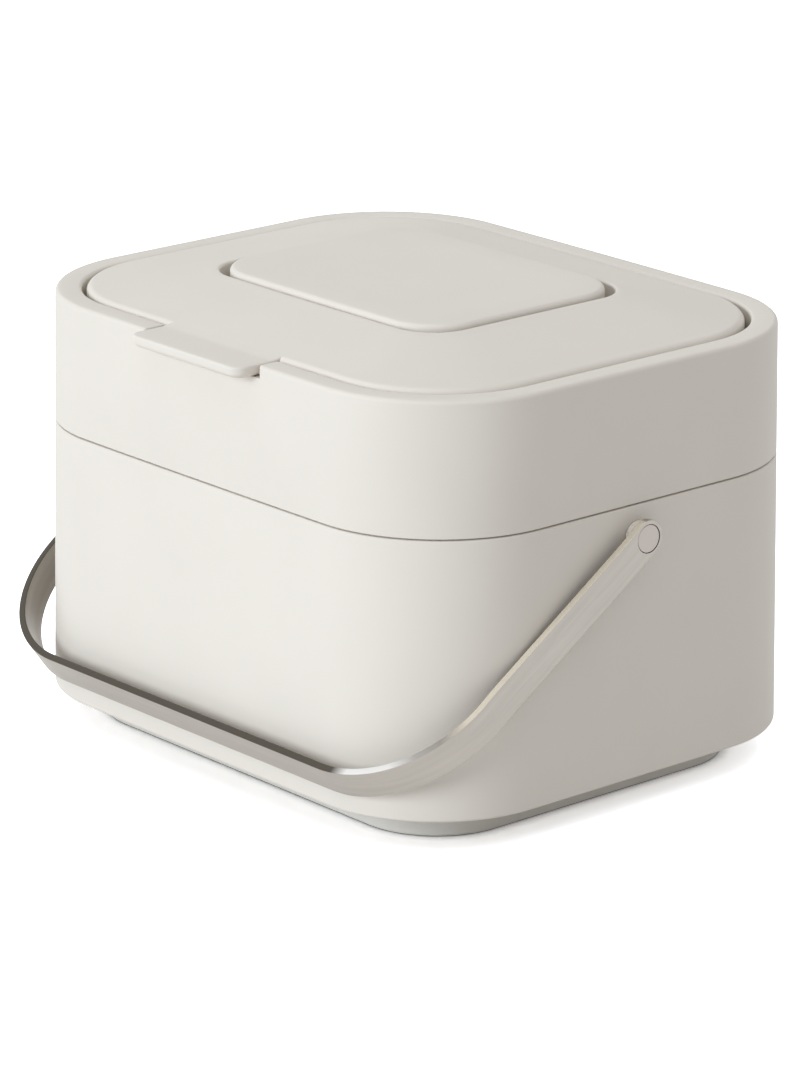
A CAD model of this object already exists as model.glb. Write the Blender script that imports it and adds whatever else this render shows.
"""Looks of a food waste caddy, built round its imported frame.

The caddy is a bucket on a soft foot, a lift-off collar, a hinged lid with a carbon filter under a small
cover, and a stainless carrying strap on two pivots. Sizes in the classes are in millimetres and meshes are in
metres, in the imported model's frame: the origin is on the floor under the middle, +X right, -Y front, +Z up.
"""
from __future__ import annotations

import logging
import math
from collections.abc import Callable, Sequence
from dataclasses import dataclass, replace
from enum import Enum, auto
from functools import cache, cached_property

import bmesh
import bpy
import numpy as np
from bpy.types import Material, Mesh, Node, NodeSocket, NodeTree, Object
from mathutils import Matrix, Vector


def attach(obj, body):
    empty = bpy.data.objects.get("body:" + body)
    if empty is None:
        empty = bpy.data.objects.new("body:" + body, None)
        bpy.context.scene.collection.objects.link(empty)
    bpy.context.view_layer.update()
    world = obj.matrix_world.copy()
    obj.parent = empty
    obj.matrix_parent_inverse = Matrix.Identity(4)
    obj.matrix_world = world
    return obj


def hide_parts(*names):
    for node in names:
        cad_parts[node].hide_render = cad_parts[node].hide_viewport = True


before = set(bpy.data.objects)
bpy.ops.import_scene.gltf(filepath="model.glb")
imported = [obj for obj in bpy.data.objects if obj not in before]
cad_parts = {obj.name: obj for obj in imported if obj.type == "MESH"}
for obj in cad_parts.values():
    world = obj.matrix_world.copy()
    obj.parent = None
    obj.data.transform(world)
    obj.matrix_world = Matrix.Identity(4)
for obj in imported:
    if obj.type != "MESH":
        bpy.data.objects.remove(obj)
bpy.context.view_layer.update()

log = logging.getLogger("caddy")
MM = 0.001
QUARTER = math.pi / 2
PIVOT_AXIS = (-0.7, 101.7)  # mm, where the strap's axis lies in Y and Z
HINGE_AXIS = (79.55, 159.0)  # mm, where the lid's axis lies in Y and Z
AT_PIVOT = Matrix.Translation(Vector((0, *PIVOT_AXIS)) * MM)
PLAY = 0.3  # mm between parts that fit into each other
BROKEN = 0.3  # mm, the round of an edge that is only just broken
HUB = 14.0  # mm, how far in the last ring of a floor or a ceiling lies
CLEAR = 1.0  # mm that a cutting shape stands past what it cuts
WHITE = (1.0, 1.0, 1.0, 1.0)
Pair = tuple[float, float]
Corner = tuple[float, float, float]


# Colours and nodes


def linear(code: str, share: float = 1.0) -> tuple[float, float, float, float]:
    """Turns an sRGB hex value into linear colour.

    Args:
        code: The colour as '#rrggbb'.
        share: What the linear colour is multiplied by.

    Returns:
        Linear red, green, blue and an alpha of 1.
    """
    levels = [int(code[i:i + 2], 16) / 255 for i in (1, 3, 5)]
    return (*[share * (v / 12.92 if v <= 0.04045 else ((v + 0.055) / 1.055) ** 2.4) for v in levels], 1.0)


def feed(node: Node, sockets: dict) -> None:
    """Sets and links a node's inputs.

    Args:
        node: The node.
        sockets: Values, output sockets or nodes by input name or number. A node stands for its first live
            output.
    """
    for key, value in sockets.items():
        if isinstance(value, Node):
            value = next(out for out in value.outputs if out.enabled)
        if isinstance(value, NodeSocket):
            node.id_data.links.new(value, node.inputs[key])
        else:
            node.inputs[key].default_value = value


def add(tree: NodeTree, kind: str, sockets: dict | None = None, **settings) -> Node:
    """Adds a node with its settings, socket values and links.

    Args:
        tree: The node tree that takes the node.
        kind: The node's type name.
        sockets: What its inputs are fed, as in feed.
        **settings: Attributes of the node.

    Returns:
        The new node.
    """
    node = tree.nodes.new(kind)
    for key, value in settings.items():
        setattr(node, key, value)
    feed(node, sockets or {})
    return node


def per(size: float) -> float:
    """Returns the scale of a pattern whose size is in millimetres."""
    return 1 / (size * MM)


@dataclass(frozen=True)
class Finish:
    """What every finish shares: a name, the shader's even values, and how its patterns drive the shader."""

    name: str
    colour: str
    roughness: float
    metallic: float = 0.0
    ior: float = 1.5

    @cached_property
    def material(self) -> Material:
        """The finished material, made once."""
        raise NotImplementedError

    def start(self) -> tuple[Material, NodeTree, Node, NodeSocket]:
        """Makes the material and its shader.

        Returns:
            The material, its tree, its shader, and the object coordinates to draw patterns on.
        """
        material = bpy.data.materials.new(self.name)
        material.use_nodes = True
        tree = material.node_tree
        shader = tree.nodes["Principled BSDF"]
        feed(shader, {"Base Color": linear(self.colour), "Roughness": self.roughness,
                      "Metallic": self.metallic, "IOR": self.ior})
        return material, tree, shader, add(tree, "ShaderNodeTexCoord").outputs["Object"]

    def dress(self, shader: Node, relief: tuple, tint: tuple = (), satin: tuple = ()) -> None:
        """Lets patterns drive the shader.

        Args:
            shader: The finish's shader.
            relief: A pattern, its bump's strength, and its depth in millimetres.
            tint: A pattern, and the colours where it is lowest and highest.
            satin: A pattern, and what is added to the roughness where it is lowest and highest.
        """
        tree = shader.id_data
        bump = {"Height": relief[0], "Strength": relief[1], "Distance": relief[2] * MM}
        feed(shader, {"Normal": add(tree, "ShaderNodeBump", bump)})
        if tint:
            colours = add(tree, "ShaderNodeMix", dict(zip((0, 6, 7), tint)), data_type="RGBA")
            feed(shader, {"Base Color": colours})
        if satin:
            low, high = (self.roughness + change for change in satin[1:])
            span = {"Value": satin[0], "To Min": low, "To Max": high}
            feed(shader, {"Roughness": add(tree, "ShaderNodeMapRange", span)})


@dataclass(frozen=True)
class MouldedPolypropylene(Finish):
    """Polypropylene from a finely sparked mould: a dry satin face, a broad sheen and a faint flow mottle."""

    grain: float = 0.45  # mm between pits, drawn about four times as coarse as the mould's, to show
    grain_depth: float = 0.012  # mm
    grain_satin: float = 0.05  # how far the pits move the roughness
    mottle: float = 38.0  # mm across a flow mark
    mottle_tint: float = 0.025  # how far a flow mark lightens or darkens

    @cached_property
    def material(self) -> Material:
        """The finished material, made once."""
        material, tree, shader, place = self.start()
        pits = add(tree, "ShaderNodeTexNoise", {"Vector": place, "Scale": per(self.grain), "Detail": 3.0})
        flow = add(tree, "ShaderNodeTexNoise", {"Vector": place, "Scale": per(self.mottle), "Detail": 2.0})
        shades = [linear(self.colour, 1 + sign * self.mottle_tint) for sign in (-1, 1)]
        self.dress(shader, (pits, 0.5, self.grain_depth), (flow, *shades),
                   (pits, -self.grain_satin, self.grain_satin))
        return material


@dataclass(frozen=True)
class MouldedElastomer(Finish):
    """Thermoplastic elastomer moulded round a foot: a dull, slightly dusty skin with a fine matt grain."""

    grain: float = 0.6  # mm
    grain_depth: float = 0.03  # mm
    dust: str = "#e2dfd9"
    dust_patch: float = 9.0  # mm

    @cached_property
    def material(self) -> Material:
        """The finished material, made once."""
        material, tree, shader, place = self.start()
        grain = add(tree, "ShaderNodeTexNoise", {"Vector": place, "Scale": per(self.grain), "Detail": 4.0})
        dust = add(tree, "ShaderNodeTexNoise", {"Vector": place, "Scale": per(self.dust_patch),
                                                "Detail": 5.0, "Roughness": 0.7})
        self.dress(shader, (grain, 0.6, self.grain_depth), (dust, linear(self.colour), linear(self.dust)))
        return material


@dataclass(frozen=True)
class BrushedStainless(Finish):
    """Stainless strip brushed along its length before bending: long hairlines that draw out its highlights.

    Its sheared edge is left matt on the arm, is buffed bright round the bend and polished along the grip.
    """

    metallic: float = 1.0
    hair: Pair = (26.0, 0.16)  # mm along and across a hairline, about three times as coarse as real, to show
    hair_depth: float = 0.01  # mm
    band: Pair = (38.0, 2.4)  # mm along and across a broader streak
    band_satin: Pair = (-0.06, 0.08)  # what the streaks add to the roughness
    shades: Pair = (0.72, 1.26)  # shares of the colour in the darkest and the lightest hairlines
    stretch: float = 0.6  # how far the highlights are drawn out
    half_width: float = 6.25  # mm
    edge_width: float = 0.3  # mm of the eased corner that takes the edge's finish
    edge_run: tuple[tuple[float, str, float], ...] = (  # mm along the strip, colour, share that is matt
        (0.0, "#d8cebc", 0.85), (92.0, "#d8cebc", 0.85), (104.0, "#9e9891", 0.55), (114.0, "#aea9a3", 0.6),
        (124.0, "#e6e3df", 0.85), (140.5, "#e9e6e3", 0.85), (147.0, "#5a554d", 0.05))

    def edge(self, tree: NodeTree, way: Node) -> tuple[Node, NodeSocket, NodeSocket]:
        """Draws the edge's finish along the strip.

        Args:
            tree: The material's tree.
            way: The places on the strip, along it and across it.

        Returns:
            1 on the edge and 0 on the faces, the edge's colour, and the share of it that is matt.
        """
        parts = add(tree, "ShaderNodeSeparateXYZ", {0: way})
        across = add(tree, "ShaderNodeMath", {0: parts.outputs[1]}, operation="ABSOLUTE")
        mask = add(tree, "ShaderNodeMapRange", {"Value": across, "To Min": 0.0, "To Max": 1.0,
                                                "From Min": (self.half_width - self.edge_width) * MM,
                                                "From Max": (self.half_width - self.edge_width / 2) * MM})
        end = self.edge_run[-1][0]
        share = add(tree, "ShaderNodeMath", {0: parts, 1: end * MM}, operation="DIVIDE")
        ramp = add(tree, "ShaderNodeValToRGB", {0: share})
        stops = ramp.color_ramp.elements
        for along, *_ in self.edge_run[1:-1]:
            stops.new(along / end)
        for stop, (along, code, matt) in zip(stops, self.edge_run):
            stop.position = along / end
            stop.color = (*linear(code)[:3], matt)
        return mask, ramp.outputs["Color"], ramp.outputs["Alpha"]

    @cached_property
    def material(self) -> Material:
        """The finished material, made once."""
        material, tree, shader, _ = self.start()
        way = add(tree, "ShaderNodeUVMap", uv_map="along")
        streaks = []
        for size, detail, broken in ((self.hair, 4.0, 0.65), (self.band, 2.0, 0.5)):
            scale = (*[per(side) for side in size], 1)
            lay = add(tree, "ShaderNodeMapping", {"Vector": way, "Scale": scale})
            streaks.append(add(tree, "ShaderNodeTexNoise", {"Vector": lay, "Scale": 1.0, "Detail": detail,
                                                            "Roughness": broken}))
        hairs, bands = streaks
        both = add(tree, "ShaderNodeMath", {0: hairs, 1: bands}, operation="ADD")
        depth = add(tree, "ShaderNodeMath", {0: both, 1: 0.5}, operation="MULTIPLY")
        tint = add(tree, "ShaderNodeMix", {0: depth, 6: linear(self.colour, self.shades[0]),
                                           7: linear(self.colour, self.shades[1])}, data_type="RGBA")
        mask, edge_colour, matt = self.edge(tree, way)
        self.dress(shader, (hairs, 0.25, self.hair_depth), (mask, tint, edge_colour),
                   (bands, *self.band_satin))
        dull = add(tree, "ShaderNodeMath", {0: mask, 1: matt}, operation="MULTIPLY")
        bare = add(tree, "ShaderNodeMath", {0: 1.0, 1: dull}, operation="SUBTRACT")
        tangent = add(tree, "ShaderNodeTangent", direction_type="UV_MAP", uv_map="along")
        feed(shader, {"Metallic": bare, "Tangent": tangent, "Anisotropic": self.stretch})
        return material


@dataclass(frozen=True)
class TurnedStainless(Finish):
    """Stainless turned on a lathe: faint rings round the axis on its faces, with a satin tumbled shine."""

    metallic: float = 1.0
    ring: float = 0.22  # mm between tool marks
    ring_depth: float = 0.004  # mm
    smear: float = 2.5  # mm across a tumbled patch
    smear_satin: Pair = (-0.05, 0.07)  # what the patches add to the roughness
    axis: Pair = (0.0, 0.0)  # mm, where the lathe's axis, along X, lies in Y and Z

    @cached_property
    def material(self) -> Material:
        """The finished material, made once."""
        material, tree, shader, place = self.start()
        middle = Vector((0, *self.axis)) * MM
        moved = add(tree, "ShaderNodeVectorMath", {0: place, 1: middle}, operation="SUBTRACT")
        across = add(tree, "ShaderNodeVectorMath", {0: moved, 1: (0, 1, 1)}, operation="MULTIPLY")
        radius = add(tree, "ShaderNodeVectorMath", {0: across}, operation="LENGTH")
        turns = 2 * math.pi / (self.ring * MM)
        marks = add(tree, "ShaderNodeMath", {0: radius, 1: turns}, operation="MULTIPLY")
        wave = add(tree, "ShaderNodeMath", {0: marks}, operation="SINE")
        smear = add(tree, "ShaderNodeTexNoise", {"Vector": place, "Scale": per(self.smear), "Detail": 3.0})
        self.dress(shader, (wave, 0.15, self.ring_depth), satin=(smear, *self.smear_satin))
        return material


@dataclass(frozen=True)
class FeltedCarbon(Finish):
    """Activated carbon bound in needled felt: nearly black, with grey fibres lying every way."""

    fibre: float = 0.35  # mm
    fibre_colour: str = "#57575a"
    fibre_width: float = 0.09  # share of the gap between two fibres
    fluff_depth: float = 0.25  # mm
    bend: Pair = (2.2, 0.004)  # mm across a bend in the fibres, and how far it shifts them

    @cached_property
    def material(self) -> Material:
        """The finished material, made once."""
        material, tree, shader, place = self.start()
        wander, shift = self.bend
        warp = add(tree, "ShaderNodeTexNoise", {"Vector": place, "Scale": per(wander), "Detail": 2.0})
        bent = add(tree, "ShaderNodeMix", {0: shift, 4: place, 5: warp.outputs["Color"]}, data_type="VECTOR")
        fibres = add(tree, "ShaderNodeTexVoronoi", {"Vector": bent, "Scale": per(self.fibre * 3)},
                     feature="DISTANCE_TO_EDGE")
        thin = add(tree, "ShaderNodeMapRange", {"Value": fibres, "From Min": 0.0, "To Min": 1.0,
                                                "From Max": self.fibre_width, "To Max": 0.0})
        fluff = add(tree, "ShaderNodeTexNoise", {"Vector": place, "Scale": per(self.fibre), "Detail": 5.0})
        self.dress(shader, (fluff, 0.9, self.fluff_depth),
                   (thin, linear(self.colour), linear(self.fibre_colour)))
        feed(shader, {"Sheen Weight": 0.25, "Sheen Roughness": 0.6})
        return material


# Shapes


CORNER_STEPS = 26
SIDE_STEPS = 10
ROUND_STEPS = 6


@dataclass(frozen=True)
class Outline:
    """A rounded rectangle seen from above, in millimetres, whose front and back swell in their middle."""

    width: float
    depth: float
    corner: float
    bow: float = 0.0
    back: float = 0.0

    def toward(self, other: Outline, share: float) -> Outline:
        """Returns the outline a share of the way to another one."""
        mine, theirs = vars(self), vars(other)
        return Outline(**{key: mine[key] + (theirs[key] - mine[key]) * share for key in mine})

    def bow_at(self, x: float) -> float:
        """Returns how far the front swells at a place across it."""
        return self.bow * (1 - (x / (self.width / 2)) ** 2)

    def ring(self, inset: float, height: float) -> list[Vector]:
        """Makes one level ring of points.

        Args:
            inset: How far the ring lies inside the outline.
            height: The ring's height.

        Returns:
            The points, anticlockwise from above, from the right end of the rear right corner.
        """
        half_width, half_depth, corner = self.width / 2 - inset, self.depth / 2 - inset, self.corner - inset
        points: list[Vector] = []
        for side in range(4):
            sign_x = 1 if side in (0, 3) else -1
            sign_y = 1 if side < 2 else -1
            centre = Vector((sign_x * (half_width - corner), sign_y * (half_depth - corner)))
            for step in range(CORNER_STEPS + 1):
                angle = (side + step / CORNER_STEPS) * QUARTER
                here = centre + corner * Vector((math.cos(angle), math.sin(angle)))
                points.append(here)
            far = Vector((-here.x, here.y)) if side % 2 == 0 else Vector((here.x, -here.y))
            points += [here.lerp(far, step / SIDE_STEPS) for step in range(1, SIDE_STEPS)]
        swell = [self.bow * (1 - (p.x / half_width) ** 2) * (p.y / half_depth) for p in points]
        return [Vector((p.x, p.y + s + self.back, height)) for p, s in zip(points, swell)]


def quarter(radius: float, steps: int = ROUND_STEPS) -> list[Pair]:
    """Returns a quarter round's points, from (0, radius) to (radius, 0)."""
    return [(radius * (1 - math.cos(a)), radius * (1 - math.sin(a))) for a in np.linspace(0, QUARTER, steps)]


def eased(path: Sequence[Corner], looped: bool = False, steps: int = ROUND_STEPS) -> list[Pair]:
    """Rounds the corners of a path.

    Args:
        path: Corners as (across, up, radius). A radius of 0 keeps a corner sharp.
        looped: Whether the path ends where it starts.
        steps: Spans in each round.

    Returns:
        The rounded path's points.
    """
    points: list[Pair] = []
    count = len(path)
    for i, (across, up, radius) in enumerate(path):
        here = Vector((across, up))
        if radius <= 0 or (not looped and i in (0, count - 1)):
            points.append((across, up))
            continue
        back = (Vector(path[i - 1][:2]) - here).normalized()
        on = (Vector(path[(i + 1) % count][:2]) - here).normalized()
        half = back.angle(on) / 2
        centre = here + (back + on).normalized() * (radius / math.sin(half))
        start, end = (here + way * (radius / math.tan(half)) - centre for way in (back, on))
        first = math.atan2(start.y, start.x)
        sweep = (math.atan2(end.y, end.x) - first + math.pi) % (2 * math.pi) - math.pi
        for step in range(steps + 1):
            angle = first + sweep * step / steps
            points.append((centre.x + radius * math.cos(angle), centre.y + radius * math.sin(angle)))
    return points


class Ends(Enum):
    """How a row of rings is closed."""

    CAPPED = auto()  # one face on the first ring, and one on the last
    LOOPED = auto()  # the last ring joins the first
    PINCHED = auto()  # both end rings are flat to a line, which the weld closes
    LADDERS = auto()  # strips across both end rings, each of which starts and ends at the same side


def skin(name: str, rings: Sequence[Sequence[Vector]], ends: Ends = Ends.CAPPED, weld: float = 1e-7,
         flat: Sequence[Pair] = ()) -> Mesh:
    """Makes a closed mesh through rings of equal count, with its faces outwards.

    Args:
        name: The mesh's name.
        rings: Rings of points in millimetres.
        ends: How the row of rings is closed.
        weld: Points nearer than this, in metres, become one.
        flat: Each point's place before bending, in millimetres, for the UV map "along".

    Returns:
        The mesh, in metres.
    """
    count, last = len(rings[0]), len(rings) - 1
    faces: list[list[int]] = []
    for i in range(last + 1 if ends is Ends.LOOPED else last):
        low, high = i * count, (i + 1) % len(rings) * count
        faces += [[low + j, low + (j + 1) % count, high + (j + 1) % count, high + j] for j in range(count)]
    if ends is Ends.CAPPED:
        faces += [list(range(count))[::-1], list(range(last * count, (last + 1) * count))]
    if ends is Ends.LADDERS:
        for mid in (count // 2, last * count + count // 2):
            faces += [[mid - 1 - j, mid - 2 - j, mid + 1 + j, mid + j] for j in range(count // 2 - 1)]
    mesh = bpy.data.meshes.new(name)
    mesh.from_pydata([p * MM for ring in rings for p in ring], [], faces)
    if len(flat):
        layer = mesh.uv_layers.new(name="along")
        for loop in mesh.loops:
            layer.data[loop.index].uv = [side * MM for side in flat[loop.vertex_index]]
    shape = bmesh.new()
    shape.from_mesh(mesh)
    bmesh.ops.remove_doubles(shape, verts=shape.verts, dist=weld)
    bmesh.ops.dissolve_degenerate(shape, dist=1e-7, edges=shape.edges)
    bmesh.ops.recalc_face_normals(shape, faces=shape.faces)
    if shape.calc_volume(signed=True) < 0:
        bmesh.ops.reverse_faces(shape, faces=shape.faces)
    shape.to_mesh(mesh)
    shape.free()
    return mesh


def swept(name: str, ring: Callable[[float, float], list[Vector]], path: Sequence[Corner],
          ends: Ends = Ends.CAPPED, steps: int = ROUND_STEPS) -> Mesh:
    """Makes a closed mesh by taking a section round an outline.

    Args:
        name: The mesh's name.
        ring: Gives the outline's ring at an inset and a height.
        path: The section's corners as (inset, height, radius).
        ends: How the section is closed.
        steps: Spans in each round.

    Returns:
        The mesh, in metres.
    """
    return skin(name, [ring(*pair) for pair in eased(path, ends is Ends.LOOPED, steps)], ends)


def turned(name: str, section: Sequence[Pair], steps: int = 72) -> Mesh:
    """Turns a closed section about the X axis.

    Args:
        name: The mesh's name.
        section: Its corners as (radius, along), in millimetres, round a ring or from axis to axis.
        steps: Spans round the axis.

    Returns:
        The closed mesh, in metres.
    """
    angles = [2 * math.pi * step / steps for step in range(steps)]
    rings = [[Vector((along, max(radius, 1e-4) * math.cos(a), max(radius, 1e-4) * math.sin(a)))
              for a in angles] for radius, along in section]
    return skin(name, rings, Ends.LOOPED if section[0][0] > 0 else Ends.CAPPED)


def rod(radius: float, near: float, far: float) -> list[Pair]:
    """Returns the section of a plain rod, to turn."""
    return [(0, near), (radius, near), (radius, far), (0, far)]


def block(name: str, low: Sequence[float], high: Sequence[float], ease: float = 0.0) -> Mesh:
    """Makes a block.

    Args:
        name: The mesh's name.
        low: Its lowest corner, in millimetres.
        high: Its highest corner, in millimetres.
        ease: How far its edges are eased, in millimetres.

    Returns:
        The mesh, in metres.
    """
    mesh = bpy.data.meshes.new(name)
    shape = bmesh.new()
    bmesh.ops.create_cube(shape, size=1.0)
    for vertex in shape.verts:
        vertex.co = Vector([(a + b) / 2 + c * (b - a) for a, b, c in zip(low, high, vertex.co)]) * MM
    if ease > 0:
        bmesh.ops.bevel(shape, geom=list(shape.edges), offset=ease * MM, segments=3, profile=0.5,
                        affect="EDGES")
    shape.to_mesh(mesh)
    shape.free()
    return mesh


def placed(mesh: Mesh) -> Object:
    """Returns a new object for a mesh, in the scene, at the origin."""
    thing = bpy.data.objects.new(mesh.name, mesh)
    bpy.context.scene.collection.objects.link(thing)
    return thing


def flattened(thing: Object) -> Mesh:
    """Applies an object's modifiers and removes the object.

    Args:
        thing: The object.

    Returns:
        Its final mesh.
    """
    bpy.context.view_layer.update()
    graph = bpy.context.evaluated_depsgraph_get()
    mesh = bpy.data.meshes.new_from_object(thing.evaluated_get(graph), preserve_all_data_layers=True,
                                           depsgraph=graph)
    mesh.name = thing.name
    bpy.data.objects.remove(thing)
    return mesh


class Cut(Enum):
    """What a second shape does to the first."""

    AWAY = "DIFFERENCE"
    JOIN = "UNION"


def combined(base: Mesh, other: Mesh, cut: Cut = Cut.AWAY) -> Mesh:
    """Cuts a shape from another, or joins them into one skin.

    Args:
        base: The shape that stays.
        other: The shape that cuts or joins.
        cut: Which of the two it does.

    Returns:
        The new mesh.
    """
    first, second = placed(base), placed(other)
    change = first.modifiers.new("cut", "BOOLEAN")
    change.operation, change.solver, change.object = cut.value, "EXACT", second
    mesh = flattened(first)
    bpy.data.objects.remove(second)
    return mesh


def merged(name: str, meshes: Sequence[Mesh]) -> Mesh:
    """Lays several meshes into one, without changing them.

    Args:
        name: The new mesh's name.
        meshes: The meshes.

    Returns:
        The new mesh.
    """
    shape = bmesh.new()
    for mesh in meshes:
        shape.from_mesh(mesh)
    whole = bpy.data.meshes.new(name)
    shape.to_mesh(whole)
    shape.free()
    return whole


def piece(mesh: Mesh, name: str, body: str, slot: str, nodes: Sequence[str], finish: Finish,
          crease: float = 32.0) -> Object:
    """Makes a finished piece that stands for CAD nodes.

    Args:
        mesh: The piece's mesh, in place.
        name: The piece's name.
        body: The CAD body it rides on.
        slot: The record's material slot.
        nodes: The CAD nodes it stands for.
        finish: Its finish.
        crease: Edges sharper than this many degrees stay sharp.

    Returns:
        The piece.
    """
    mesh.materials.clear()
    mesh.materials.append(finish.material)
    mesh.shade_smooth()
    mesh.set_sharp_from_angle(angle=math.radians(crease))
    thing = placed(mesh)
    thing.name = name
    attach(thing, body)
    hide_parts(*nodes)
    log.info("piece %s: %d faces on %s", name, len(mesh.polygons), body)
    return thing


# Repeated shapes


VENT_ROUND = 0.45  # share of a vent's width that rounds its ends


def new_tree(name: str, inputs: dict[str, str]) -> tuple[NodeTree, bpy.types.NodeOutputs]:
    """Starts a Geometry Nodes tree that gives one shape.

    Args:
        name: The tree's name.
        inputs: The kind of each input socket, by its name.

    Returns:
        The tree, and its inputs as sockets to read from.
    """
    tree = bpy.data.node_groups.new(name, "GeometryNodeTree")
    for key, kind in inputs.items():
        tree.interface.new_socket(key, in_out="INPUT", socket_type=f"NodeSocket{kind}")
    tree.interface.new_socket("Result", in_out="OUTPUT", socket_type="NodeSocketGeometry")
    return tree, add(tree, "NodeGroupInput").outputs


def run_tree(tree: NodeTree, shape: Mesh, values: dict) -> Mesh:
    """Runs a Geometry Nodes tree on a shape.

    Args:
        tree: The tree.
        shape: The mesh that goes in.
        values: The tree's inputs by name.

    Returns:
        The mesh that comes out.
    """
    thing = placed(shape)
    change = thing.modifiers.new("nodes", "NODES")
    change.node_group = tree
    for item in tree.interface.items_tree:
        if values.get(item.name) is not None:
            change[item.identifier] = values[item.name]
    thing.update_tag()
    return flattened(thing)


@cache
def copy_row() -> NodeTree:
    """Builds the tree that sets equal copies of a shape along X, each turned about Z past the one before.

    Returns:
        The tree.
    """
    tree, given = new_tree("copy_row", {"Shape": "Geometry", "Count": "Int", "Spacing": "Float",
                                        "Turn": "Float", "Place": "Vector", "Material": "Material"})
    start = given["Count"]
    for operation, value in (("ADD", -1.0), ("MULTIPLY", given["Spacing"]), ("MULTIPLY", -0.5)):
        start = add(tree, "ShaderNodeMath", {0: start, 1: value}, operation=operation)
    line = add(tree, "GeometryNodeMeshLine", {
        "Count": given["Count"], "Start Location": add(tree, "ShaderNodeCombineXYZ", {0: start}),
        "Offset": add(tree, "ShaderNodeCombineXYZ", {0: given["Spacing"]})})
    number = add(tree, "GeometryNodeInputIndex")
    turn = add(tree, "ShaderNodeMath", {0: number, 1: given["Turn"]}, operation="MULTIPLY")
    rows = add(tree, "GeometryNodeInstanceOnPoints", {
        "Points": line, "Instance": given["Shape"], "Rotation": add(tree, "ShaderNodeCombineXYZ", {2: turn})})
    real = add(tree, "GeometryNodeRealizeInstances", {0: rows})
    moved = add(tree, "GeometryNodeTransform", {0: real, "Translation": given["Place"]})
    add(tree, "NodeGroupOutput", {0: add(tree, "GeometryNodeSetMaterial", {
        0: moved, "Material": given["Material"]})})
    return tree


def copies(shape: Mesh, count: int, spacing: float = 0.0, turn: float = 0.0, place: Corner = (0.0, 0.0, 0.0),
           finish: Finish | None = None) -> Mesh:
    """Sets copies of a shape in a row along X.

    Args:
        shape: The shape to copy, in metres.
        count: How many copies.
        spacing: Millimetres between copies.
        turn: Radians that each copy is turned about Z past the one before.
        place: Where the row's middle goes, in millimetres.
        finish: The copies' finish.

    Returns:
        One mesh that holds all copies.
    """
    return run_tree(copy_row(), shape, {"Count": count, "Spacing": spacing * MM, "Turn": turn,
                                        "Place": [p * MM for p in place],
                                        "Material": finish.material if finish else None})


@cache
def vent_field() -> NodeTree:
    """Builds the tree that cuts rows of round-ended vents down through a level floor.

    Returns:
        The tree.
    """
    tree, given = new_tree("vent_field", {
        "Floor": "Geometry", "Columns": "Int", "Rows": "Int", "Length": "Float", "Width": "Float",
        "Rib": "Float", "Depth": "Float", "Place": "Vector", "Material": "Material"})
    reach = []
    for count, size in (("Columns", "Length"), ("Rows", "Width")):
        pitch = add(tree, "ShaderNodeMath", {0: given[size], 1: given["Rib"]}, operation="ADD")
        gaps = add(tree, "ShaderNodeMath", {0: given[count], 1: -1.0}, operation="ADD")
        reach.append(add(tree, "ShaderNodeMath", {0: pitch, 1: gaps}, operation="MULTIPLY"))
    grid = add(tree, "GeometryNodeMeshGrid", {"Size X": reach[0], "Size Y": reach[1],
                                              "Vertices X": given["Columns"], "Vertices Y": given["Rows"]})
    slot = add(tree, "GeometryNodeCurvePrimitiveQuadrilateral", {"Width": given["Length"],
                                                                 "Height": given["Width"]})
    end = add(tree, "ShaderNodeMath", {0: given["Width"], 1: VENT_ROUND}, operation="MULTIPLY")
    rounded = add(tree, "GeometryNodeFilletCurve", {0: slot, "Radius": end, "Count": 4}, mode="POLY")
    depth = {}
    for key, share in (("Start", -0.5), ("End", 0.5)):
        height = add(tree, "ShaderNodeMath", {0: given["Depth"], 1: share}, operation="MULTIPLY")
        depth[key] = add(tree, "ShaderNodeCombineXYZ", {2: height})
    drill = add(tree, "GeometryNodeCurvePrimitiveLine", depth)
    cutter = add(tree, "GeometryNodeCurveToMesh", {"Curve": drill, "Profile Curve": rounded,
                                                   "Fill Caps": True})
    rows = add(tree, "GeometryNodeInstanceOnPoints", {"Points": grid, "Instance": cutter})
    moved = add(tree, "GeometryNodeTransform", {0: rows, "Translation": given["Place"]})
    cut = add(tree, "GeometryNodeMeshBoolean", {"Mesh 1": given["Floor"], "Mesh 2": moved},
              operation="DIFFERENCE", solver="EXACT")
    real = add(tree, "GeometryNodeRealizeInstances", {0: cut})
    add(tree, "NodeGroupOutput", {0: add(tree, "GeometryNodeSetMaterial", {
        0: real, "Material": given["Material"]})})
    return tree


# The caddy's own pieces


STONE = MouldedPolypropylene("satin_moulded_polypropylene", "#e4ded5", 0.52, ior=1.49)
FOOT_SKIN = MouldedElastomer("moulded_elastomer_foot", "#d6d2ca", 0.72)
STRIP = BrushedStainless("brushed_stainless_strip", "#b8b3ac", 0.3)
CARBON = FeltedCarbon("felted_activated_carbon", "#1d1d1f", 0.92)
NYLON = MouldedPolypropylene("natural_nylon", "#dad7cd", 0.5, ior=1.53, mottle=6.0)
SPRING = TurnedStainless("stamped_spring_steel", "#9a9894", 0.34)
PIN = TurnedStainless("turned_stainless_pin", "#bab2ad", 0.36, axis=PIVOT_AXIS)
WIRE = TurnedStainless("drawn_stainless_wire", "#b9b6b2", 0.3, axis=HINGE_AXIS)


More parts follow.
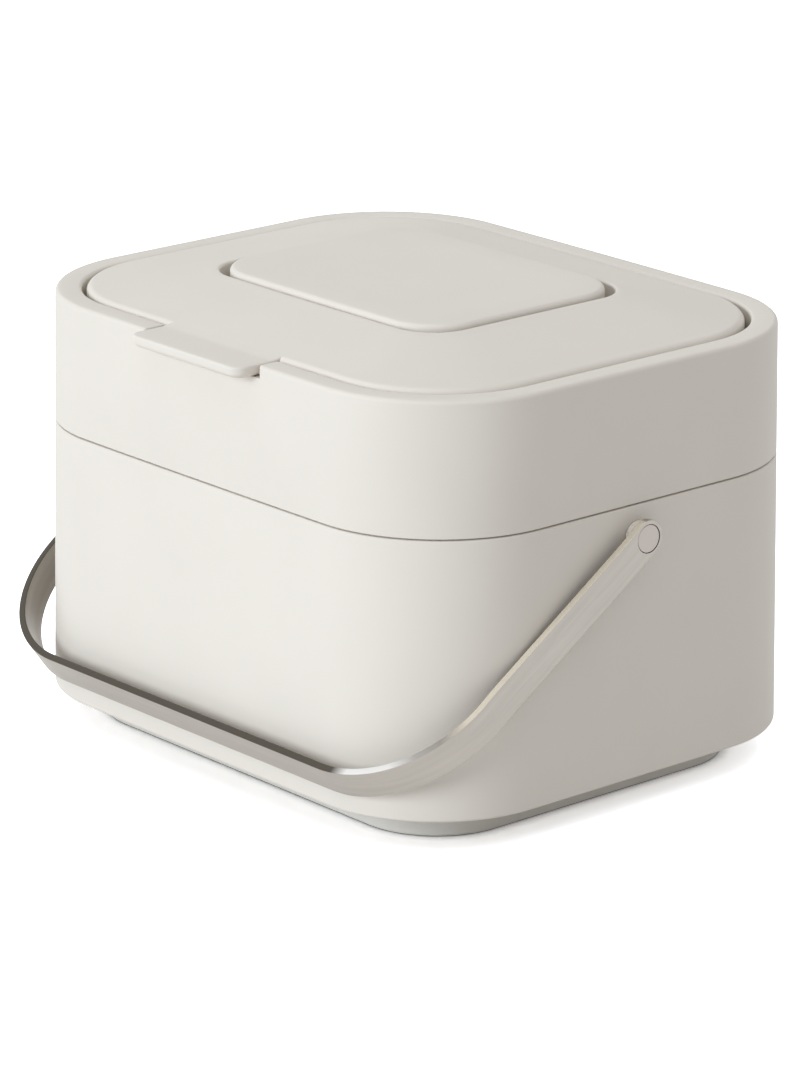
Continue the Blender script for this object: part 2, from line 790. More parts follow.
@dataclass
class CaddyBody:
    """The sizes that the bucket, the collar and the lid share."""

    height: float = 161.0
    rim: Outline = Outline(235.2, 192.8, 52.3, 1.15)
    foot: Outline = Outline(234.6, 196.0, 48.5, 0.7)
    plinth: Outline = Outline(198.4, 158.6, 31.0)
    plinth_height: float = 12.0
    shoulder: float = 112.3
    collar_foot: float = 112.9
    wall: float = 2.4

    def outline(self, height: float) -> Outline:
        """Returns the outside of the wall at a height."""
        return self.rim.toward(self.foot, (self.height - height) / self.height)

    def at(self, inset: float, height: float) -> list[Vector]:
        """Returns the ring at an inset from the outside of the wall, at a height."""
        return self.outline(height).ring(inset, height)


@dataclass
class Bucket:
    """The bucket with its neck and the skirt that holds it in the foot, and the soft foot itself."""

    body: CaddyBody
    floor: float = 2.6
    foot_round: float = 1.2
    floor_round: float = 4.0
    shoulder_round: float = 0.55
    neck: Pair = (2.7, 4.7)
    neck_rise: float = 11.0
    neck_round: float = 0.7
    slope: Pair = (1.5, 3.8)  # where the neck's inside runs out to the wall, below the shoulder
    slope_round: float = 1.5
    bush_hole: float = 4.6
    drill_past: Pair = (-8.0, 2.0)
    skirt: Pair = (2.0, 6.0)  # thickness and depth
    plinth_wall: float = 3.0
    plinth_floor: float = 2.0
    plinth_floor_round: float = 0.8
    plinth_round: float = 1.1
    sole_hub: float = 20.0

    def shell(self) -> Mesh:
        """Builds the bucket.

        Returns:
            The mesh, with the two holes for the strap's bushes.
        """
        b = self.body
        low, high, top = b.plinth_height, b.shoulder, b.shoulder + self.neck_rise
        floor, skirt = low + self.floor, self.plinth_wall + PLAY
        thickness, depth = self.skirt
        out, inn = self.neck
        under = [b.plinth.ring(skirt + thickness, low), b.plinth.ring(skirt + thickness, low - depth),
                 b.plinth.ring(skirt, low - depth), b.plinth.ring(skirt, low)]
        side = eased([(HUB, low, 0), (0, low, self.foot_round), (0, high, self.shoulder_round),
                      (out, high, BROKEN), (out, top, self.neck_round), (inn, top, BROKEN),
                      (inn, high - self.slope[0], self.slope_round),
                      (b.wall, high - self.slope[1], self.slope_round), (b.wall, floor, self.floor_round),
                      (HUB, floor, 0)])
        mesh = skin("bucket_body", under + [b.at(*pair) for pair in side[1:]])
        for sign in (-1, 1):
            ends = sorted(sign * (b.rim.width / 2 + past) for past in self.drill_past)
            drill = turned("drill", rod(self.bush_hole, *ends))
            drill.transform(AT_PIVOT)
            mesh = combined(mesh, drill)
        return mesh

    def plinth(self) -> Mesh:
        """Builds the soft foot.

        Returns:
            An open tray that the bucket stands in.
        """
        top, wall = self.body.plinth_height - PLAY, self.plinth_wall
        return swept("foot_ring", self.body.plinth.ring, [
            (self.sole_hub, 0, 0), (0, 0, self.plinth_round), (0, top, BROKEN), (wall, top, BROKEN),
            (wall, self.plinth_floor, self.plinth_floor_round), (HUB, self.plinth_floor, 0)])

    def build(self) -> None:
        """Builds and dresses the bucket and its foot."""
        piece(self.shell(), "bucket_body", "bucket", "bucket", ["bucket_shell"], STONE)
        piece(self.plinth(), "foot_ring", "bucket", "foot", ["base_foot"], FOOT_SKIN)


@dataclass
class Hinge:
    """The lid's two hinges: lugs on the collar, knuckles on the lid, and a pin through each."""

    spread: float = 96.0
    eye: float = 1.9
    pin: float = 0.75
    lug: float = 3.0
    knuckle: float = 7.8
    side_play: float = 0.4
    stem: Pair = (4.6, 1.4)
    stem_rise: float = 0.8
    web_rise: float = 0.6
    ease: float = 0.2
    eye_ease: float = 0.25

    def pair(self, shape: Mesh, finish: Finish | None = None) -> Mesh:
        """Returns two copies of a shape, one on each hinge."""
        return copies(shape, 2, self.spread, place=(0, *HINGE_AXIS), finish=finish)

    def eye_on(self, width: float) -> Mesh:
        """Builds one eye, centred on the axis.

        Args:
            width: How wide it is.

        Returns:
            The eye's mesh.
        """
        half, bore = width / 2, self.pin + PLAY
        return turned("eye", eased([(bore, -half, 0), (self.eye, -half, self.eye_ease),
                                    (self.eye, half, self.eye_ease), (bore, half, 0)], True, 3), 40)

    def lugs(self, ledge: float) -> Mesh:
        """Builds the four lugs on the collar's ledge.

        Args:
            ledge: The height that their stems are rooted at.

        Returns:
            The lugs, in place.
        """
        half, rise, (front, back) = self.lug / 2, self.stem_rise, self.stem
        stem = block("stem", (-half, -front, ledge - HINGE_AXIS[1]), (half, -back, rise), self.ease)
        neck = block("neck", (-half, -front, -self.eye), (half, -self.pin - PLAY, rise), self.ease)
        lug = merged("lug", [self.eye_on(self.lug), stem, neck])
        return self.pair(copies(lug, 2, self.knuckle + 2 * self.side_play + self.lug))

    def knuckles(self) -> Mesh:
        """Builds the lid's knuckles.

        Returns:
            Both knuckles, in place.
        """
        half = self.knuckle / 2
        web = block("web", (-half, -self.eye, self.pin + PLAY), (half, self.eye, self.eye + self.web_rise))
        return self.pair(merged("knuckle", [self.eye_on(self.knuckle), web]))

    def pins(self) -> None:
        """Builds and dresses the two pins."""
        half = self.knuckle / 2 + self.side_play + self.lug - PLAY
        wire = turned("hinge_wire", eased([(0, -half, 0), (self.pin, -half, self.ease),
                                           (self.pin, half, self.ease), (0, half, 0)], steps=3), 28)
        piece(self.pair(wire, WIRE), "hinge_wires", "collar", "hinge_pin",
              ["hinge_pin_left", "hinge_pin_right"], WIRE)

    def clearances(self, reach: float, low: float, high: float) -> list[Mesh]:
        """Builds what is cut from the lid so that it clears the lugs.

        Args:
            reach: How far behind the axis the slots at the lid's rear edge run.
            low: The slots' lowest height.
            high: The slots' highest height.

        Returns:
            The slots, and the round pockets over the lugs' eyes.
        """
        half = self.knuckle / 2 + 2 * self.side_play + self.lug
        slot = block("slot", (-half, 0, low - HINGE_AXIS[1]), (half, reach, high - HINGE_AXIS[1]))
        pocket = turned("pocket", rod(self.eye + PLAY, -half, half), 40)
        return [self.pair(slot), self.pair(pocket)]


@dataclass
class Collar:
    """The lift-off collar: its outside carries on the bucket's wall, and its rim folds in to a ledge."""

    body: CaddyBody
    hinge: Hinge
    foot_round: float = 0.35
    rim_round: float = 1.7
    band: float = 9.5
    inner_round: float = 1.3
    plate: float = 2.4
    plate_round: float = 0.5
    well_wall: float = 2.0
    ledge: float = 149.0
    ledge_thickness: float = 2.2
    ledge_rounds: Corner = (0.8, 0.6, 1.2)  # over the ledge, at its lip, and under it
    mouth: float = 20.5
    notch_half: float = 31.0
    notch_floor: float = 156.6
    notch_round: float = 2.0
    notch_ease: float = 0.5
    seat: Pair = (2.2, 2.0)  # how thick the seat under the tab is, and how far it runs past the notch
    seat_points: int = 15

    def band_mesh(self) -> Mesh:
        """Builds the collar's folded wall.

        Returns:
            The wall all the way round.
        """
        b, low, ledge = self.body, self.body.collar_foot, self.ledge
        hidden, under, plate = self.band - self.well_wall, ledge - self.ledge_thickness, b.height - self.plate
        over, lip, below = self.ledge_rounds
        return swept("collar_band", b.at, [
            (0, low, self.foot_round), (0, b.height, self.rim_round), (self.band, b.height, self.inner_round),
            (self.band, ledge, over), (self.mouth, ledge, lip), (self.mouth, under, lip),
            (hidden, under, below), (hidden, plate, self.plate_round), (b.wall, plate, self.plate_round),
            (b.wall, low, BROKEN)], Ends.LOOPED)

    def saddle(self) -> Mesh:
        """Builds the solid seat under the tab.

        Returns:
            The seat, which reaches into the wall on both sides.
        """
        b = self.body
        thickness, past = self.seat
        low, high = self.notch_floor - thickness, b.height - self.plate / 2
        outer, inner = b.wall / 2, self.band - self.well_wall / 2
        xs = np.linspace(-self.notch_half - past, self.notch_half + past, self.seat_points)
        rows = []
        for inset, height in ((outer, low), (outer, high), (inner, high), (inner, low)):
            front = [p for p in b.at(inset, height) if p.y < 0]
            ys = np.interp(xs, [p.x for p in front], [p.y for p in front])
            rows.append([Vector((x, y, height)) for x, y in zip(xs, ys)])
        return skin("saddle", list(zip(*rows)))

    def notch(self) -> Mesh:
        """Builds what the tab's notch takes away.

        Returns:
            A block that flares at the front corners and at the top edges.
        """
        b, ease = self.body, self.notch_ease
        front = -(b.rim.depth / 2 + b.rim.bow)
        rings = []
        for flare, height in [(0.0, self.notch_floor), (0.0, b.height - ease),
                              *[(x, b.height - y) for x, y in quarter(ease)], (ease, b.height + CLEAR)]:
            half, turn = self.notch_half + flare, self.notch_round
            right = [(half, front + self.band + CLEAR), *[(half + x, front + y) for x, y in quarter(turn)],
                     (half + turn, front - CLEAR)]
            rings.append([Vector((x, y, height)) for x, y in right + [(-x, y) for x, y in right[::-1]]])
        return skin("notch", rings)

    def build(self) -> None:
        """Builds and dresses the collar and its hinge pins."""
        mesh = combined(combined(self.band_mesh(), self.saddle(), Cut.JOIN), self.notch())
        whole = merged("collar_body", [mesh, self.hinge.lugs(self.ledge - self.ledge_thickness / 2)])
        piece(whole, "collar_body", "collar", "collar", ["collar"], STONE)
        self.hinge.pins()


@dataclass
class Lid:
    """The lid: a shallow hipped panel round the filter's well, with a tab to lift it by."""

    body: CaddyBody
    hinge: Hinge
    edge: Outline = Outline(214.4, 171.4, 44.05, 1.15, -0.3)
    well: Outline = Outline(123.4, 95.9, 15.5, 0.6, 1.5)
    edge_height: float = 161.4
    rise: float = 7.05
    swell: float = 0.15
    wall: float = 2.2
    edge_round: float = 2.6
    edge_skin: float = 3.0
    foot: float = 154.5
    foot_round: float = 0.4
    well_round: float = 1.0
    shelf: float = 155.45
    shelf_reach: float = 3.0
    shelf_thickness: float = 2.0
    shelf_rounds: Pair = (0.4, 1.0)  # where the well meets it, and under it
    slope_points: int = 14
    well_wall: float = 2.0
    tab_half: float = 30.0
    tab_front: float = -105.7
    tab_thickness: float = 4.1
    tab_corner: float = 5.0
    tab_rounds: Pair = (1.9, 0.8)  # at its foot and at its top
    tab_hem: float = 4.5  # how far in the flats of its foot and its top start
    tab_level: float = -3.0  # how far outside the lid's edge its top stops being level
    tab_end: float = 0.3  # how far behind the lid's rounded edge its slope ends
    tab_proud: float = 0.015  # how far its rear end stands over the lid's skin, before it dips in
    tab_dip: Pair = (0.8, 0.02)  # how far behind its slope it dips in, and how steeply
    tab_root: float = 2.0  # how far behind the lid's rounded edge it ends
    tab_inside: Pair = (0.4, 1.5)  # how far inside the lid's wall its underside rises, and how thin it gets
    tab_points: tuple[int, int] = (24, 60)  # round each front corner, and along each side
    crease: float = 1.6

    @property
    def run(self) -> float:
        """The level distance from the edge to the well at the front."""
        return (self.edge.depth - self.well.depth) / 2

    def surface(self, share: float) -> float:
        """Returns the upper surface's height, a share of the way from the edge to the well."""
        return self.edge_height + self.rise * share * (1 + self.swell * (1 - share))

    def panel(self) -> Mesh:
        """Builds the panel.

        Returns:
            The panel with its edge, slopes and well.
        """
        near, shelf = self.edge_round / self.run, self.shelf - self.shelf_thickness
        top, high = self.surface(near), self.surface(1)
        edge = eased([(self.wall, self.foot, 0), (0, self.foot, self.foot_round), (0, top, self.edge_round),
                      (HUB, top, 0)])[1:-1]
        over, below = self.shelf_rounds
        well = eased([(-HUB, high, 0), (0, high, self.well_round), (0, self.shelf, over),
                      (self.shelf_reach, self.shelf, BROKEN), (self.shelf_reach, shelf, BROKEN),
                      (-self.well_wall, shelf, below), (-self.well_wall, high - self.wall, 0)])[1:]
        shares = np.linspace(near, 1, self.slope_points)[1:-1].tolist()
        slope, under = ([self.edge.toward(self.well, s).ring(0, self.surface(s) - down) for s in shares]
                        for down in (0, self.wall))
        inside = self.surface(self.wall / self.run) - self.wall
        close = [self.edge.ring(self.wall, inside), self.edge.ring(self.wall, self.foot)]
        return skin("lid_panel_body", [self.edge.ring(*pair) for pair in edge] + slope
                    + [self.well.ring(*pair) for pair in well] + under[::-1] + close, Ends.LOOPED)

    def tab_top(self, inward: float) -> float:
        """Returns the tab's upper surface: level, then up along the lid's slope, then into the lid's skin.

        Args:
            inward: How far inside the lid's edge the place is. It is negative out on the tab.

        Returns:
            The surface's height.
        """
        level, end, (late, steep) = self.body.height, self.edge_round + self.tab_end, self.tab_dip
        pitch = (self.surface(end / self.run) + self.tab_proud - level) / (end - self.tab_level)
        past = inward - self.tab_level
        if abs(past) < self.crease:
            return level + pitch * (past + self.crease) ** 2 / (4 * self.crease)
        if past < 0:
            return level
        if inward < end:
            return level + pitch * past
        return self.surface(inward / self.run) + self.tab_proud - steep * max(0.0, inward - end - late)

    def plan(self, inset: float, rear: float) -> list[Pair]:
        """Lays out the tab's outline.

        Args:
            inset: How far inside the tab the outline lies.
            rear: Where it ends at the back.

        Returns:
            Its points, from the left rear round the front to the right rear.
        """
        half, front, corner = self.tab_half - inset, self.tab_front + inset, self.tab_corner - inset
        round_points, side_points = self.tab_points
        right = [(half - y, front + x) for x, y in quarter(corner, round_points)]
        right += [(half, y) for y in np.linspace(front + corner, rear, side_points)[1:]]
        return [(-x, y) for x, y in right[::-1]] + right

    def tab(self) -> Mesh:
        """Builds the tab.

        Returns:
            An eased plate whose rear end runs out inside the lid's skin.
        """
        top, foot = self.body.height, self.body.height - self.tab_thickness
        (under, over), (past, thin) = self.tab_rounds, self.tab_inside
        edge_y = self.edge.back - self.edge.depth / 2
        rings = []
        for inset, height in eased([(self.tab_hem, foot, 0), (0, foot, under), (0, top, over),
                                    (self.tab_hem, top, 0)]):
            ring = []
            for x, y in self.plan(inset, edge_y + self.edge_round + self.tab_root):
                inward = y - edge_y + self.edge.bow_at(x)
                roof = self.tab_top(inward)
                if height > top - 1.5 * over:
                    z = height - top + roof
                else:
                    z = height if inward < self.wall - past else max(height, roof - thin)
                ring.append(Vector((x, y, z)))
            rings.append(ring)
        return skin("lid_tab", rings, Ends.LADDERS)

    def build(self) -> None:
        """Builds and dresses the lid with its tab and knuckles."""
        mesh = self.panel()
        reach = self.edge.back + self.edge.depth / 2 + self.edge.bow - HINGE_AXIS[0] + CLEAR
        for cutter in self.hinge.clearances(reach, self.foot - CLEAR, self.edge_height - self.edge_skin):
            mesh = combined(mesh, cutter)
        whole = merged("lid_body", [mesh, self.tab(), self.hinge.knuckles()])
        piece(whole, "lid_body", "lid", "lid", ["lid_panel"], STONE)


@dataclass
class FilterSet:
    """The filter's vented tray, the carbon pad in it, and the small cover over them."""

    lid: Lid
    cover: Outline = Outline(120.8, 93.3, 20.0, 0.6, 1.5)
    cover_top: float = 169.9
    cover_plate: float = 2.2
    cover_wall: float = 1.8
    cover_foot: float = 163.45
    cover_rounds: Pair = (0.6, 2.0)  # inside and outside
    leg: Pair = (57.9, 59.5)
    leg_root: float = 0.8  # how far the legs reach into the ceiling
    leg_width: float = 14.0
    tray_foot: float = 155.75
    tray_wall: float = 1.6
    tray_height: float = 7.3
    tray_rounds: Pair = (0.6, 0.4)
    pad_side: tuple[Pair, ...] = (  # insets and rises round the pad's side, which the felting pinches
        (30, 0), (16, 0), (6, 0), (1.6, 0.1), (0.4, 0.9), (0, 2.2), (0.1, 3.2), (0.7, 4.1), (2, 4.75),
        (4.5, 5.15), (9, 5.38), (16, 5.48), (30, 5.5))
    pad_corner: float = 0.5  # the least corner radius inside a ring
    vent: Corner = (15.0, 3.2, 2.6)  # length, width and the rib between two
    vent_margin: float = 6.0

    def tray(self) -> Mesh:
        """Builds the tray.

        Returns:
            The tray with its vents cut.
        """
        well, low, wall = self.lid.well, self.tray_foot, self.tray_wall
        top, floor, (soft, crisp) = low + self.tray_height, low + wall, self.tray_rounds
        mesh = swept("tray_body", well.ring, [
            (HUB, low, 0), (PLAY, low, soft), (PLAY, top, crisp), (PLAY + wall, top, crisp),
            (PLAY + wall, floor, soft), (HUB, floor, 0)], steps=4)
        length, width, rib = self.vent
        spare = rib - 2 * (self.lid.shelf_reach + PLAY + self.vent_margin)
        return run_tree(vent_field(), mesh, {
            "Columns": int((well.width + spare) // (length + rib)),
            "Rows": int((well.depth + spare) // (width + rib)),
            "Length": length * MM, "Width": width * MM, "Rib": rib * MM, "Depth": 4 * wall * MM,
            "Material": STONE.material, "Place": (0.0, well.back * MM, (low + wall / 2) * MM)})

    def pad(self) -> Mesh:
        """Builds the carbon pad.

        Returns:
            The pad, pillowed a little between its edges.
        """
        inset = self.tray_wall + 2 * PLAY
        form = replace(self.lid.well, width=2 * (self.leg[0] - PLAY + inset))
        low = self.tray_foot + self.tray_wall + PLAY
        rings = []
        for into, up in self.pad_side:
            corner = max(form.corner, inset + into + self.pad_corner)
            rings.append(replace(form, corner=corner).ring(inset + into, low + up))
        return skin("carbon_pad", rings)

    def cap(self) -> Mesh:
        """Builds the cover.

        Returns:
            The cover with its two legs.
        """
        wall, foot, top = self.cover_wall, self.cover_foot, self.cover_top
        ceiling, (inner, outer) = top - self.cover_plate, self.cover_rounds
        shell = swept("cover_body", self.cover.ring, [
            (HUB, ceiling, 0), (wall, ceiling, inner), (wall, foot, BROKEN), (0, foot, BROKEN),
            (0, top, outer), (HUB, top, 0)])
        half, low = self.leg_width / 2, self.tray_foot + self.tray_wall + PLAY
        legs = []
        for sign in (-1, 1):
            near, far = sorted(sign * x for x in self.leg)
            legs.append(block("leg", (near, self.cover.back - half, low),
                              (far, self.cover.back + half, ceiling + self.leg_root), BROKEN))
        return merged("cover_body", [shell, *legs])

    def build(self) -> None:
        """Builds and dresses the tray, the pad and the cover."""
        piece(self.tray(), "tray_body", "lid", "tray", ["filter_tray"], STONE)
        pad = piece(self.pad(), "carbon_pad", "lid", "filter", ["carbon_filter"], CARBON, 70.0)
        piece(self.cap(), "cover_body", "filter_cover", "cover", ["filter_cover"], STONE)


@dataclass
class CarryStrap:
    """The stainless strap and its pivots: bush, washer, pin and clip on each side."""

    body: CaddyBody
    width: float = 12.5
    thickness: float = 2.6
    bend: float = 44.2
    tilt: float = 36.5
    pivot_span: float = 122.74
    bend_span: float = 119.1
    reach: float = 127.81
    end: float = 6.6
    straight: float = 9.0
    sway: Corner = (78.0, 150.0, 110.0)  # how far out the arm has drawn in, and the rounds before and after
    edge: float = 0.32
    span: float = 3.0  # the longest span between two rings
    sight: float = 0.4  # how far to both sides the route's direction is read
    apart: float = 0.6  # the least distance from a round end to the next ring
    end_points: int = 22
    edge_points: int = 5
    pinch: float = 2e-6  # m, how near points become one
    head: Pair = (4.95, 0.9)
    head_sink: float = 0.1
    head_play: float = 0.25
    drill_past: Pair = (6.0, 2.0)  # how far the drill reaches in and out of the strip
    pin: float = 2.6
    shank: float = 1.4  # the wall of the bush's shank
    bush: float = 5.2
    washer: Pair = (5.0, 0.8)
    clip: Pair = (4.6, 0.8)
    tail: float = 1.2  # how far the pin reaches past its clip

    def route(self) -> np.ndarray:
        """Lays out the strap's middle line.

        Returns:
            Rows of across, out and the length so far, from the right pivot round to the left one.
        """
        narrow, first, second = self.sway
        half = [(self.pivot_span, 0.0, 0), (self.pivot_span, self.straight, first),
                (self.bend_span, narrow, second), (self.bend_span, self.reach, self.bend)]
        path = eased([*half, *[(-x, z, r) for x, z, r in half[::-1]]], steps=40)
        fine: list[Pair] = []
        for (ax, az), (bx, bz) in zip(path, path[1:]):
            cuts = max(1, int(math.dist((ax, az), (bx, bz)) / self.span))
            fine += [(ax + (bx - ax) * i / cuts, az + (bz - az) * i / cuts) for i in range(cuts)]
        line = np.array([*fine, path[-1]])
        steps = np.linalg.norm(np.diff(line, axis=0), axis=1)
        return np.column_stack([line, [0.0, *np.cumsum(steps)]])

    def bent(self, flat: np.ndarray) -> np.ndarray:
        """Bends places on the flat strip along its route.

        Args:
            flat: Rows of along, across and proud of the middle.

        Returns:
            Rows of the points, in millimetres.
        """
        xs, zs, ls = self.route().T
        along, across, proud = flat.T
        inside = np.clip(along, 0.0, ls[-1])
        before, after = np.maximum(inside - self.sight, 0.0), np.minimum(inside + self.sight, ls[-1])
        run = np.array([np.interp(after, ls, c) - np.interp(before, ls, c) for c in (xs, zs)])
        run /= np.linalg.norm(run, axis=0)
        x = np.interp(inside, ls, xs) + run[0] * (along - inside) + run[1] * proud
        z = np.interp(inside, ls, zs) + run[1] * (along - inside) - run[0] * proud
        return np.column_stack([x, across, z])

    def strip(self) -> Mesh:
        """Builds the strip: a long flat with round ends and eased edges, bent along its route.

        Returns:
            The mesh, whose UV map "along" holds the places on the flat strip.
        """
        lengths = self.route()[:, 2]
        total, half, face = lengths[-1], self.width / 2, self.thickness / 2
        corner = [(y, face - x) for x, y in quarter(self.edge, self.edge_points)]
        side = corner + [(inset, -height) for inset, height in corner[::-1]]
        turn = math.acos(-math.sqrt(1 - (half / self.end) ** 2))
        clear = self.apart - self.end * math.cos(turn)
        # A station is a distance along, an angle round an end or none, and which way that end points.
        stations = [(0.0, angle, -1) for angle in np.linspace(0, turn, self.end_points)]
        stations += [(length, None, 0) for length in lengths[(lengths > clear) & (lengths < total - clear)]]
        stations += [(total, angle, 1) for angle in np.linspace(turn, 0, self.end_points)]
        flat = []
        for length, angle, way in stations:
            for sign in (1, -1):
                for inset, height in side:
                    radius = self.end - inset
                    along = length if angle is None else length + way * radius * math.cos(angle)
                    across = half - inset if angle is None else radius * math.sin(angle)
                    flat.append((along, sign * across, sign * height))
                flat += [(along, sign * across * lane, -sign * face) for lane in (0.5, 0.0, -0.5)]
        rings = self.bent(np.array(flat)).reshape(len(stations), -1, 3)
        return skin("strap_strip", rings, Ends.PINCHED, self.pinch, [spot[:2] for spot in flat])

    def strap(self) -> Mesh:
        """Builds the strap.

        Returns:
            The strip with its pivot holes, laid on the front wall.
        """
        mesh = self.strip()
        outer = self.pivot_span + self.thickness / 2
        seat = outer - self.head_sink - self.head[1] - self.head_play
        bore, sink = self.pin + PLAY, self.head[0] + self.head_play
        near, far = outer - self.drill_past[0], outer + self.drill_past[1]
        section = [(0, near), (bore, near), (bore, seat), (sink, seat), (sink, far), (0, far)]
        for sign in (-1, 1):
            mesh = combined(mesh, turned("drill", [(radius, sign * along) for radius, along in section], 96))
        mesh.transform(Matrix.Rotation(QUARTER + math.radians(self.tilt), 4, "X"))
        mesh.transform(AT_PIVOT)
        return mesh

    def pivots(self) -> None:
        """Builds and dresses the bushes, washers, pins and clips, in pairs."""
        wall = self.body.outline(PIVOT_AXIS[1]).width / 2
        inner, inside = self.pivot_span - self.thickness / 2, wall - self.body.wall
        bore, shank, lip = self.pin + PLAY, self.pin + PLAY + self.shank, wall + PLAY
        (head, cap), (washer, gauge), (clip, plate) = self.head, self.washer, self.clip
        top = inner + self.thickness - self.head_sink
        outer, stop = inner - PLAY, inside - PLAY
        seat, tail = outer - gauge - PLAY, stop - plate - self.tail
        for slot, node, finish, corners in (
                ("bush", "handle_bush", STONE, [
                    (bore, inside, 0.2), (shank, inside, 0.3), (shank, lip, 0.2), (self.bush, lip, 0.3),
                    (self.bush, seat, 0.4), (bore, seat, 0.3)]),
                ("washer", "handle_washer", NYLON, [
                    (bore, outer - gauge, 0.1), (washer, outer - gauge, 0.25), (washer, outer, 0.25),
                    (bore, outer, 0.1)]),
                ("pin", "pivot_pin", PIN, [
                    (0, tail, 0), (self.pin, tail, 0.5), (self.pin, top - cap, 0.1), (head, top - cap, 0.12),
                    (head, top, 0.16), (0, top, 0)]),
                ("clip", "pin_clip", SPRING, [
                    (bore, stop - plate, 0.1), (clip, stop - plate, 0.15), (clip, stop, 0.15),
                    (bore, stop, 0.1)])):
            shape = turned(node, eased(corners, corners[0][0] > 0, 4), 96)
            mesh = copies(shape, 2, turn=math.pi, place=(0, *PIVOT_AXIS), finish=finish)
            piece(mesh, f"{slot}_pair", "bucket", slot, [f"{node}_left", f"{node}_right"], finish)

    def build(self) -> None:
        """Builds and dresses the strap and its pivots."""
        piece(self.strap(), "strap_strip", "handle", "strap", ["handle_strap"], STRIP, 40.0)
        self.pivots()


# Floor, light and camera


def toward(azimuth: float, elevation: float) -> Vector:
    """Returns the way to a place at angles in degrees, to the right of the front and above level."""
    turn, lift = math.radians(azimuth), math.radians(elevation)
    return Vector((math.sin(turn) * math.cos(lift), -math.cos(turn) * math.cos(lift), math.sin(lift)))


@dataclass(frozen=True)
class Lamp:
    """A far lamp: where it hangs and how broad it looks, in degrees, its strength and its colour."""

    name: str
    azimuth: float
    elevation: float
    spread: float
    strength: float
    colour: Corner = (1.0, 1.0, 1.0)

    def hang(self) -> Object:
        """Hangs the lamp in the scene, unseen in glossy rays, so that it gives no glare on the plastic.

        Returns:
            The lamp's object.
        """
        light = bpy.data.lights.new(self.name, "SUN")
        light.energy, light.angle, light.color = self.strength, math.radians(self.spread), self.colour
        holder = bpy.data.objects.new(self.name, light)
        holder.location = toward(self.azimuth, self.elevation)
        holder.rotation_euler = holder.location.to_track_quat("Z", "Y").to_euler()
        holder.visible_glossy = False
        bpy.context.scene.collection.objects.link(holder)
        return holder


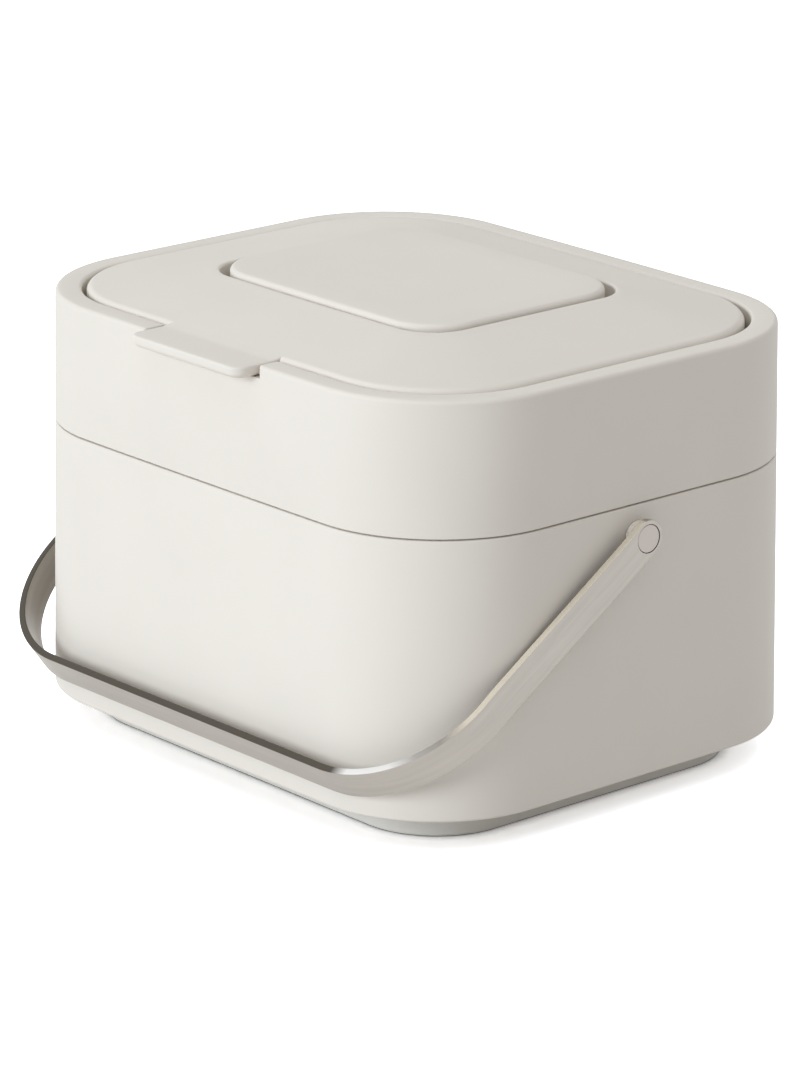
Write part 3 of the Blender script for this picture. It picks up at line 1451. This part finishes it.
@dataclass
class Studio:
    """A white floor and sky, a broad low lamp in front that spares the floor, and a soft one overhead."""

    front: Lamp = Lamp("front_lamp", -8.0, 17.0, 30.0, 1.93, (0.865, 0.932, 1.0))
    overhead: Lamp = Lamp("overhead_lamp", 0.0, 86.0, 80.0, 0.6)
    sky: float = 0.46
    floor_white: float = 0.96
    floor_seen: Corner = (2.77, 2.85, 3.0)
    floor_mirrored: float = 0.85
    floor_glow: float = 0.5
    floor_half: float = 9000.0
    floor_depth: float = 40.0
    contact: float = 5.0

    @staticmethod
    def seen(tree: NodeTree) -> Node:
        """Gives 1 for camera and transmission rays, and 0 for the rest.

        Args:
            tree: The tree that asks.

        Returns:
            The node that tells them apart.
        """
        path = add(tree, "ShaderNodeLightPath").outputs
        return add(tree, "ShaderNodeMath", {0: path["Is Camera Ray"], 1: path["Is Transmission Ray"]},
                   operation="MAXIMUM")

    def background(self) -> None:
        """Makes the sky: white to look at and in glossy rays, and dimmer as light."""
        world = bpy.data.worlds.new("plain_white")
        world.use_nodes = True
        bpy.context.scene.world = world
        tree = world.node_tree
        tree.nodes.clear()
        glossy = add(tree, "ShaderNodeLightPath").outputs["Is Glossy Ray"]
        level = add(tree, "ShaderNodeMapRange", {"Value": glossy, "To Min": self.sky, "To Max": 1.0})
        light = add(tree, "ShaderNodeBackground", {"Color": WHITE, "Strength": level})
        look = add(tree, "ShaderNodeBackground", {"Color": WHITE, "Strength": 1.0})
        mix = add(tree, "ShaderNodeMixShader", {0: self.seen(tree), 1: light, 2: look})
        add(tree, "ShaderNodeOutputWorld", {0: mix})

    def floor(self) -> Object:
        """Makes the floor: overexposed to look at, so that only the shadow close to the caddy shows.

        Returns:
            The floor. A thin line of shade darkens it where the foot meets it, and it glows in glossy rays.
        """
        half = self.floor_half
        mesh = block("floor", (-half, -half, -self.floor_depth), (half, half, 0))
        material = bpy.data.materials.new("white_floor")
        material.use_nodes = True
        tree = material.node_tree
        tree.nodes.clear()
        glossy = add(tree, "ShaderNodeLightPath").outputs["Is Glossy Ray"]
        white = add(tree, "ShaderNodeMapRange", {"Value": glossy, "To Min": self.floor_white,
                                                 "To Max": self.floor_mirrored})
        near = add(tree, "ShaderNodeAmbientOcclusion", {"Color": (*self.floor_seen, 1.0),
                                                        "Distance": self.contact * MM}, samples=12)
        shown = add(tree, "ShaderNodeMix", {0: self.seen(tree), 6: white, 7: near}, data_type="RGBA")
        matt = add(tree, "ShaderNodeBsdfDiffuse", {"Color": shown})
        glow = add(tree, "ShaderNodeMath", {0: glossy, 1: self.floor_glow}, operation="MULTIPLY")
        mirrored = add(tree, "ShaderNodeEmission", {"Color": WHITE, "Strength": glow})
        both = add(tree, "ShaderNodeAddShader", {0: matt, 1: mirrored})
        add(tree, "ShaderNodeOutputMaterial", {0: both})
        mesh.materials.append(material)
        ground = placed(mesh)
        return ground

    def build(self) -> None:
        """Builds the whole studio."""
        self.background()
        ground = self.floor()
        self.overhead.hang()
        spared = bpy.data.collections.new("not_lit_by_the_front_lamp")
        spared.objects.link(ground)
        spared.collection_objects[0].light_linking.link_state = "EXCLUDE"
        self.front.hang().light_linking.receiver_collection = spared


@dataclass
class Viewpoint:
    """The photograph's camera, in degrees, millimetres and pixels of its 800 by 1067 frame."""

    azimuth: float = 48.894
    elevation: float = 17.587
    roll: float = 0.217
    distance: float = 1888.8
    aim: Corner = (-4.302, -6.657, 80.5)
    focal: float = 5233.0
    long_side: float = 1067.0

    def build(self) -> None:
        """Places the camera."""
        back = toward(self.azimuth, self.elevation)
        right = toward(self.azimuth + 90, 0)
        up = back.cross(right)
        target = Vector((0, 0, self.aim[2])) + right * self.aim[0] + up * self.aim[1]
        data = bpy.data.cameras.new("viewpoint")
        data.sensor_width, data.sensor_fit = 36.0, "AUTO"
        data.lens = self.focal / self.long_side * data.sensor_width
        data.clip_start, data.clip_end = 0.05, 40.0
        camera = bpy.data.objects.new("viewpoint", data)
        turn = Matrix((right, up, back)).transposed().to_4x4()
        tilt = Matrix.Rotation(math.radians(self.roll), 4, "Z")
        camera.matrix_world = Matrix.Translation((target + back * self.distance) * MM) @ turn @ tilt
        bpy.context.scene.collection.objects.link(camera)
        bpy.context.scene.camera = camera


def main() -> None:
    """Builds the studio and every piece of the caddy, in order."""
    logging.basicConfig(level=logging.INFO, format="%(message)s")
    bpy.context.scene.view_settings.view_transform = "Standard"
    Viewpoint().build()
    Studio().build()
    body, hinge = CaddyBody(), Hinge()
    lid = Lid(body, hinge)
    for part in (Bucket(body), Collar(body, hinge), lid, FilterSet(lid), CarryStrap(body)):
        part.build()


if __name__ == "__main__":
    main()
